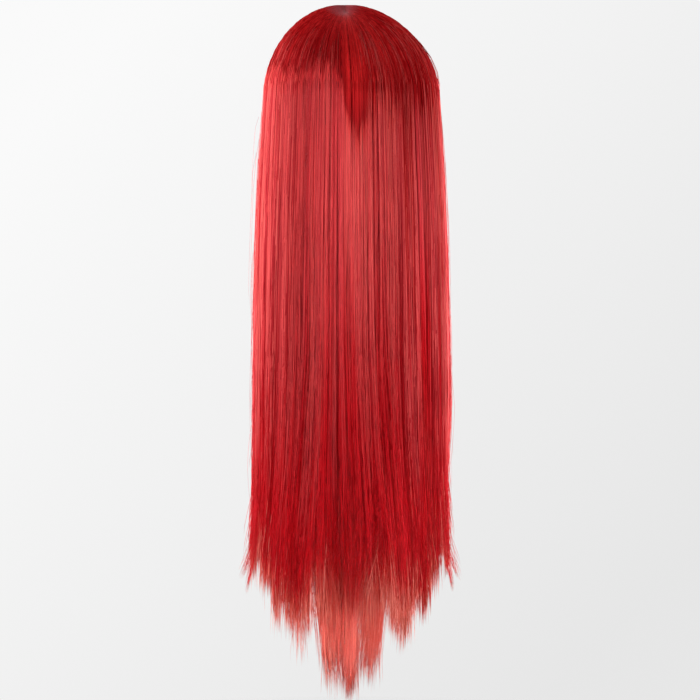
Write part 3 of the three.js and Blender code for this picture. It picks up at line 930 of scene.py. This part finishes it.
def nape_core(name, columns):
    """Dense core of the nape hair: an outer face just inside the outer hair, grooved in locks further down,
    and an inner face that rests over the cap and then keeps a wall that thins towards the tips."""
    angle, groove, tip = (column[:, None] for column in columns)
    shares = NAPE_CORE_SHARES[None, :]
    z = NAPE_TOP + (tip + CORE_SHORTER - NAPE_TOP) * shares
    taper = tip_taper(shares)
    outer_inset = np.interp(-z, -HANG_Z, HANG_WALL) + NAPE_GAP
    inner_inset = outer_inset + np.interp(-z, -HANG_Z, NAPE_WALL) * taper
    outer = plan_point(angle, *hang_plan(z, outer_inset), z)
    inner = plan_point(angle, *hang_plan(z, inner_inset), z)
    depth = NAPE_GROOVE * groove * taper * smooth(shares, *NAPE_GROOVE_SHARES)
    return wall(name, sink(outer, depth), inner, joined=False)


def nape_strands(name, count, seed):
    """Loose nape strands, crowded towards the middle by a power of their place. They start at the cap's low
    back and hang through the thickness of the core or over one of its faces. As they pass below the outer
    hair, they draw in to their tuft and, with it, towards the middle of the back."""
    rng = np.random.default_rng(seed)
    tresses = round(NAPE_EDGE / TRESS_SPACING)
    tress = rng.integers(0, tresses, count)
    place = 2 * (np.arange(tresses) + rng.uniform(*TRESS_PLACES, tresses)) / tresses - 1
    middle = (NAPE_EDGE * np.sign(place) * np.abs(place) ** TAIL_CROWDING)[tress]
    angle = middle + rng.uniform(-NAPE_TRESS_HALF, NAPE_TRESS_HALF, count)
    angle = np.clip(angle, NAPE_INSET - NAPE_EDGE, NAPE_EDGE - NAPE_INSET)[:, None]
    tuft = np.digitize(angle, NAPE_EDGES) - 1
    aside = angle - NAPE_MIDDLES[tuft]
    beside = np.abs(aside) / (np.diff(NAPE_EDGES)[tuft] / 2)
    tip = NAPE_TUFT_TIPS[tuft] + NAPE_NOTCH * beside**2
    tip = tip + rng.normal(0, NAPE_LENGTH_PLAY, tresses)[tress, None]
    tip = tip + rng.gamma(NAPE_SHORTER_SHAPE, NAPE_SHORTER, (count, 1))
    shares = NAPE_ROWS[None, :]
    z = NAPE_TOP + (tip - NAPE_TOP) * shares

    drift = tress_play(rng, tresses, tress, NAPE_TRESS_DRIFT, NAPE_STRAND_DRIFT) * shares**DRIFT_POWER
    phase = rng.uniform(0, 2 * np.pi, tresses)[tress, None]
    wave = NAPE_WAVE_SWING * np.sin(z / NAPE_WAVE_HEIGHT + phase) * smooth(shares, 0, WAVE_FULL_FROM)
    draw = (NAPE_DRAWN - NAPE_MIDDLES)[tuft] - aside * NAPE_PULL[tuft]
    splay = rng.normal(0, END_SPLAY, (count, 1)) * smooth(shares, SPLAY_FROM, 1)
    swung = angle + drift + wave + draw * smooth(-z, *NAPE_CLOSING) + splay

    layer = rng.uniform(0, 1, (count, 1))
    within = rng.uniform(0, 1, (count, 1))
    outer_or_within = np.where(layer > 1 - NAPE_OUTER, NAPE_OUTER_LIES, within)
    through = np.where(layer < NAPE_INNER, NAPE_INNER_LIES, outer_or_within)
    thickness = np.interp(-z, -HANG_Z, NAPE_WALL) * (1 - NAPE_END_CLOSER * smooth(shares, NAPE_END_FROM, 1))
    inset = np.interp(-z, -HANG_Z, HANG_WALL) + NAPE_GAP + thickness * through
    half_width, back = hang_plan(z, inset)
    proud = NAPE_INNER_PROUD * (through > 1)
    path = plan_point(swung, half_width - proud, back - proud, z)

    radius = fine_radii(rng, count)[:, None] * end_taper(shares)
    is_accent = rng.uniform(0, 1, count) < ACCENT_SHARE
    accent = np.where(is_accent, rng.choice([-ACCENT_TONE, ACCENT_TONE], count), 0)
    tone = NAPE_TONE + tress_play(rng, tresses, tress, NAPE_TONE_PLAY, NAPE_TONE_PLAY)[:, 0] + accent
    thin_from = NAPE_THIN_FROM + tress_play(rng, tresses, tress, NAPE_THIN_PLAY, NAPE_THIN_PLAY)
    run = NAPE_FIRST_RUN + (1 - NAPE_FIRST_RUN) * shares
    return tubes(name, path, radius, np.clip(tone, *TONE_LIMITS), thinned(run, z, thin_from))


nape_columns = lock_columns(HALF_GAP - NAPE_EDGE, NAPE_EDGE - HALF_GAP, NAPE_LOCKS, seed=53, tips=NAPE_TIPS)
dress(nape_core("nape_core", nape_columns), shaded_core_fibre, "under_hair", "hair_nape")
dress(nape_strands("nape_strands", NAPE_STRANDS, seed=31), fibre, "under_hair", "hair_nape")


# Stray hair: single fibres that have worked loose, along the edges of the fall and over the crown, and the
# ends that turn outwards at both lower corners.

# Rows of a stray hair, its width along them, and half a sine that starts and ends a tenth in.
STRAY_ROWS = np.array([0, 0.12, 0.3, 0.5, 0.7, 0.86, 1])
STRAY_TAPER = 1 - TIP_THINNER * STRAY_ROWS
STRAY_BOW = np.sin(np.pi * (0.1 + 0.8 * STRAY_ROWS))

# Corner wisps: the angle each ends at, how far it reaches out, and the height of its tip.
CORNER_WISPS = np.array([
    [76.0, 0.021, -0.586],
    [82, 0.0125, -0.602],
    [92, 0.004, -0.586],
    [-78, 0.021, -0.587],
    [-83, 0.0115, -0.600],
    [-94, 0.004, -0.586],
])
WISP_HAIRS = 26
WISP_TOPS = (-0.52, -0.46)
WISP_SPREAD = 5.0
WISP_CLOSER = 0.75
WISP_REACHES = (0.75, 1.1)
WISP_LENGTH_PLAY = 0.005
WISP_SINK = 0.001
WISP_CURVE = (0.3, 1.15)
WISP_CURVE_POWER = 1.5
WISP_RADII = (0.00015, 0.00032)

LOOSE_HAIRS = 330
LOOSE_AT_EDGE = 0.4
LOOSE_EDGE_ANGLES = (78, 100)
LOOSE_ANGLES = (-110, 110)
LOOSE_TOPS = (-0.52, -0.10)
LOOSE_LENGTHS = (0.06, 0.2)
LOOSE_LIFT = 0.0034
LOOSE_LIFT_PLAY = 0.45
LOOSE_MOST_LIFT = 0.006
LOOSE_DRIFT = 2.5
LOOSE_RADII = (0.0001, 0.0002)

CROWN_HAIRS = 110
CROWN_ON_RIGHT = 0.7
CROWN_RIGHT_ANGLES = (-80, -8)
CROWN_LEFT_ANGLES = (4, 75)
CROWN_FIRST_TURNS = (12, 48)
CROWN_LAST_TURNS = (70, 88)
CROWN_DRIFT = 1.2
CROWN_SINK = 0.0009
CROWN_LIFT = 0.0011
CROWN_RADII = (0.00012, 0.00024)

LIFTED_HAIRS = 26
LIFTED_ANGLES = (-88, -66)
LIFTED_FIRST_TURNS = (34, 46)
LIFTED_LAST_TURN = 86
LIFTED_SINK = 0.0005
LIFTED_HEIGHT = 0.0035
LIFTED_PLAY = (0.2, 1)
LIFTED_LATE = 1.6
LIFTED_RADII = (0.0001, 0.0002)


def stray_tubes(name, rng, path, radii, widths, tone, run):
    """Tubes along stray hairs: an even draw of the radius times the widths along the rows, a normal draw of
    the tone by its mean and spread, and a shading run that goes evenly from one value to another and so
    sets which of the fibre's painted shade, painted highlight and painted coral backlight it takes."""
    radius = rng.uniform(*radii, (len(path), 1)) * widths
    tones = np.clip(rng.normal(*tone, len(path)), *TONE_LIMITS)
    along = np.broadcast_to(run[0] + (run[1] - run[0]) * STRAY_ROWS, path.shape[:2])
    return tubes(name, path, radius, tones, along)


def corner_wisps(name, seed):
    """Ends at the lower corners: the hairs of a wisp leave the outer form in the last sixth of the fall,
    close up towards one end and curve outwards, by a reach that grows as a power of a smooth step."""
    rng = np.random.default_rng(seed)
    ends, reaches, tips = np.repeat(CORNER_WISPS, WISP_HAIRS, axis=0).T[:, :, None]
    count = len(ends)
    spread = rng.normal(0, WISP_SPREAD, (count, 1))
    top = rng.uniform(*WISP_TOPS, (count, 1))
    z = top + (tips + rng.exponential(WISP_LENGTH_PLAY, (count, 1)) - top) * STRAY_ROWS
    angle = ends + spread * (1 - WISP_CLOSER * STRAY_ROWS)
    reach = reaches * rng.uniform(*WISP_REACHES, (count, 1))
    depth = WISP_SINK - reach * smooth(STRAY_ROWS, *WISP_CURVE) ** WISP_CURVE_POWER
    path = sink(hair_point(angle, np.full_like(z, 90), z), depth)
    return stray_tubes(name, rng, path, WISP_RADII, STRAY_TAPER, tone=(0.6, 0.12), run=(0.66, 0.98))


def loose_hairs(name, seed):
    """Single hairs that leave the outer form for part of its height, many of them at its edges: a bow
    outwards whose lift follows half a sine, with an even drift round the fall."""
    rng = np.random.default_rng(seed)
    at_edge = rng.choice([-1, 1], LOOSE_HAIRS) * rng.uniform(*LOOSE_EDGE_ANGLES, LOOSE_HAIRS)
    is_edge = rng.uniform(0, 1, LOOSE_HAIRS) < LOOSE_AT_EDGE
    angle = np.where(is_edge, at_edge, rng.uniform(*LOOSE_ANGLES, LOOSE_HAIRS))[:, None]
    top = rng.uniform(*LOOSE_TOPS, (LOOSE_HAIRS, 1))
    lowest = np.interp(np.abs(angle), *OUTER_TIPS)
    tip = np.maximum(top - rng.uniform(*LOOSE_LENGTHS, (LOOSE_HAIRS, 1)), lowest)
    z = top + (tip - top) * STRAY_ROWS
    lift = LOOSE_LIFT * rng.exponential(LOOSE_LIFT_PLAY, (LOOSE_HAIRS, 1)) * STRAY_BOW
    drift = rng.normal(0, LOOSE_DRIFT, (LOOSE_HAIRS, 1)) * STRAY_ROWS
    path = sink(hair_point(angle + drift, np.full_like(z, 90), z), -np.minimum(lift, LOOSE_MOST_LIFT))
    return stray_tubes(name, rng, path, LOOSE_RADII, STRAY_TAPER, tone=(0.6, 0.15), run=(0.4, 0.9))


def crown_hairs(name, seed):
    """Fine light hairs that lie over the crown along the comb lines, more of them on the right, with their
    run in the fibre's painted highlight. Each runs from one turn of the dome to another, is lifted by half
    a sine and is thickest in its middle."""
    rng = np.random.default_rng(seed)
    on_right = rng.uniform(0, 1, CROWN_HAIRS) < CROWN_ON_RIGHT
    right = rng.uniform(*CROWN_RIGHT_ANGLES, CROWN_HAIRS)
    angle = np.where(on_right, right, rng.uniform(*CROWN_LEFT_ANGLES, CROWN_HAIRS))[:, None]
    start = rng.uniform(*CROWN_FIRST_TURNS, (CROWN_HAIRS, 1))
    turns = start + (rng.uniform(*CROWN_LAST_TURNS, (CROWN_HAIRS, 1)) - start) * STRAY_ROWS
    z = np.full_like(turns, HANG_Z[0])
    drift = rng.normal(0, CROWN_DRIFT, (CROWN_HAIRS, 1)) * STRAY_ROWS
    depth = CROWN_SINK - CROWN_LIFT * np.sin(np.pi * STRAY_ROWS)
    path = sink(hair_point(angle + drift, turns, z), np.broadcast_to(depth, turns.shape))
    return stray_tubes(name, rng, path, CROWN_RADII, STRAY_BOW, tone=(0.85, 0.08), run=(0.22, 0.32))


def lifted_tuft(name, seed):
    """A few hairs that stand off the side of the crown: they lift over the turn of the dome, by half a sine
    that peaks late, and lie down again."""
    rng = np.random.default_rng(seed)
    angle = rng.uniform(*LIFTED_ANGLES, (LIFTED_HAIRS, 1))
    start = rng.uniform(*LIFTED_FIRST_TURNS, (LIFTED_HAIRS, 1))
    turns = start + (LIFTED_LAST_TURN - start) * STRAY_ROWS
    z = np.full_like(turns, HANG_Z[0])
    lift = LIFTED_HEIGHT * rng.uniform(*LIFTED_PLAY, (LIFTED_HAIRS, 1))
    lift = lift * np.sin(np.pi * STRAY_ROWS**LIFTED_LATE)
    path = sink(hair_point(angle + 0 * turns, turns, z), LIFTED_SINK - lift)
    return stray_tubes(name, rng, path, LIFTED_RADII, STRAY_TAPER, tone=(0.55, 0.12), run=(0.1, 0.3))


dress(corner_wisps("corner_wisps", seed=41), fibre, "hair")
dress(loose_hairs("loose_hairs", seed=42), fibre, "hair")
dress(crown_hairs("crown_hairs", seed=44), fibre, "hair")
dress(lifted_tuft("lifted_tuft", seed=43), fibre, "hair")


# Studio: a pale floor below the tips that fades into a pale room. Soft lights stand on both sides, in front
# and behind, with a fill beside the camera and a low strip under the tips. The camera is level with the
# middle of the hair.

FLOOR_Z = -0.78
FLOOR_HALF = 3.0
FLOOR_SOLID = 0.30
FLOOR_GONE = 0.62
PALE_FLOOR = (0.80, 0.80, 0.79, 1)
ROOM_LIGHTER_SIDE = (0.7, 0.0, 0.7)
ROOM_SPAN = 0.13
ROOM_MIDDLE = 0.875
ROOM_RANGE = 0.08
ROOM_FRONT = 0.50
ROOM_FRONT_FROM = 0.1
ROOM_BACKDROP = 1.1
ROOM_BACKDROP_FROM = -0.5
ROOM_BELOW = 2.7
ROOM_BELOW_FROM = -0.5
ROOM_ABOVE = 0.5
ROOM_ABOVE_FROM = 0.05
PIXEL = 0.001035
IMAGE_SIDE = 700
CAMERA_DISTANCE = 3.0
SENSOR = 36.0
OUTLINE_TOP_PIXEL = 7
OUTLINE_TOP_Z = 0.005
AIM_X = 0.0015
AIM_Z = OUTLINE_TOP_Z - (IMAGE_SIDE / 2 - OUTLINE_TOP_PIXEL) * PIXEL


def soft_light(name, place, aim, width, height, power, spread=180):
    """Rectangular soft light at a place, turned to face an aim point, that the camera doesn't see. Its
    spread is the angle of its beam in degrees."""
    data = bpy.data.lights.new(name, "AREA")
    data.shape = "RECTANGLE"
    data.size = width
    data.size_y = height
    data.energy = power
    data.spread = np.radians(spread)
    lamp = bpy.data.objects.new(name, data)
    lamp.location = place
    lamp.rotation_euler = (Vector(aim) - Vector(place)).to_track_quat("-Z", "Y").to_euler()
    lamp.visible_camera = False
    bpy.context.scene.collection.objects.link(lamp)


def map_range(tree, value, span, levels, interpolation="LINEAR"):
    """Value mapped from a span onto two levels, and held at both ends."""
    made = tree.nodes.new("ShaderNodeMapRange")
    made.interpolation_type = interpolation
    made.inputs["From Min"].default_value, made.inputs["From Max"].default_value = span
    made.inputs["To Min"].default_value, made.inputs["To Max"].default_value = levels
    tree.links.new(value, made.inputs["Value"])
    return made.outputs["Result"]


def mix_shader(tree, factor, first, second, surface):
    """Mix of two shader outputs by a factor, led to a surface socket."""
    mixed = tree.nodes.new("ShaderNodeMixShader")
    tree.links.new(factor, mixed.inputs["Fac"])
    tree.links.new(first, mixed.inputs[1])
    tree.links.new(second, mixed.inputs[2])
    tree.links.new(mixed.outputs["Shader"], surface)


def floor_material():
    """Pale matt paint that turns clear with the distance from the middle of the floor."""
    material, tree, surface = new_material("floor_paint")
    place = tree.nodes.new("ShaderNodeTexCoord")
    distance = tree.nodes.new("ShaderNodeVectorMath")
    distance.operation = "LENGTH"
    tree.links.new(place.outputs["Object"], distance.inputs[0])
    span = float(np.hypot(FLOOR_SOLID, FLOOR_Z)), float(np.hypot(FLOOR_GONE, FLOOR_Z))
    fade = map_range(tree, distance.outputs["Value"], span, (0, 1), "SMOOTHSTEP")
    paint = add_node(tree, "ShaderNodeBsdfDiffuse", Color=PALE_FLOOR)
    clear = tree.nodes.new("ShaderNodeBsdfTransparent")
    mix_shader(tree, fade, paint.outputs["BSDF"], clear.outputs["BSDF"], surface)
    return material


def room_world():
    """Light from all round, stronger from the backdrop beyond the wig than from the camera's side and from
    below than from above, and for the eye alone a pale wall that is a little lighter up and to the left."""
    room = bpy.data.worlds.new("room")
    room.use_nodes = True
    tree = room.node_tree
    tree.nodes.clear()
    direction = tree.nodes.new("ShaderNodeTexCoord").outputs["Generated"]
    slope = tree.nodes.new("ShaderNodeVectorMath")
    slope.operation = "DOT_PRODUCT"
    slope.inputs[1].default_value = ROOM_LIGHTER_SIDE
    tree.links.new(direction, slope.inputs[0])
    wall_levels = ROOM_MIDDLE - ROOM_RANGE, ROOM_MIDDLE + ROOM_RANGE
    level = map_range(tree, slope.outputs["Value"], (-ROOM_SPAN, ROOM_SPAN), wall_levels)
    seen = tree.nodes.new("ShaderNodeBackground")
    tree.links.new(level, seen.inputs["Color"])
    facing = tree.nodes.new("ShaderNodeSeparateXYZ")
    tree.links.new(direction, facing.inputs[0])
    depth_span = ROOM_FRONT_FROM, ROOM_BACKDROP_FROM
    glow = map_range(tree, facing.outputs["Y"], depth_span, (ROOM_FRONT, ROOM_BACKDROP))
    height_span = ROOM_BELOW_FROM, ROOM_ABOVE_FROM
    strength = map_range(tree, facing.outputs["Z"], height_span, (ROOM_BELOW, ROOM_ABOVE))
    lit = tree.nodes.new("ShaderNodeBackground")
    tree.links.new(glow, lit.inputs["Color"])
    tree.links.new(strength, lit.inputs["Strength"])
    to_eye = tree.nodes.new("ShaderNodeLightPath").outputs["Is Camera Ray"]
    output = tree.nodes.new("ShaderNodeOutputWorld")
    mix_shader(tree, to_eye, lit.outputs[0], seen.outputs[0], output.inputs["Surface"])
    return room


corner_signs = np.array([[-1, -1], [1, -1], [1, 1], [-1, 1]])
floor_points = np.concatenate([corner_signs * FLOOR_HALF, np.full((4, 1), FLOOR_Z)], axis=1)
floor = new_piece("floor", floor_points, [np.arange(4)[None, :]])
floor.data.materials.append(floor_material())

scene = bpy.context.scene
scene.world = room_world()
scene.view_settings.view_transform = "Standard"

soft_light("left_soft", (1.5, 0.35, 0.42), aim=(0, 0, 0.42), width=0.9, height=1.64, power=12.2)
soft_light("right_soft", (-1.42, 0.66, -0.30), aim=(0, 0, -0.30), width=0.7, height=0.56, power=2.7)
soft_light("camera_fill", (0.2, 2.6, -0.1), aim=(0, 0, -0.2), width=1.2, height=0.6, power=10)
soft_light("left_front", (0.9, 1.6, 0.9), aim=(0, 0, -0.05), width=1.0, height=1.0, power=4.5)
low_aim = (0, 0.05, -0.632)
soft_light("low_strip", (0, 0.75, -0.82), low_aim, width=0.5, height=0.12, power=0.265, spread=30)
soft_light("right_rim", (-1.3, -0.55, -0.2), aim=(0, 0, -0.2), width=0.6, height=1.0, power=12)
soft_light("left_rim", (1.3, -0.55, -0.1), aim=(0, 0, -0.1), width=0.6, height=0.8, power=10)

camera_data = bpy.data.cameras.new("camera")
camera_data.sensor_width = SENSOR
camera_data.lens = SENSOR * CAMERA_DISTANCE / (IMAGE_SIDE * PIXEL)
camera = bpy.data.objects.new("camera", camera_data)
camera.location = (AIM_X, CAMERA_DISTANCE, AIM_Z)
camera.rotation_euler = (np.pi / 2, 0, np.pi)
scene.collection.objects.link(camera)
scene.camera = camera
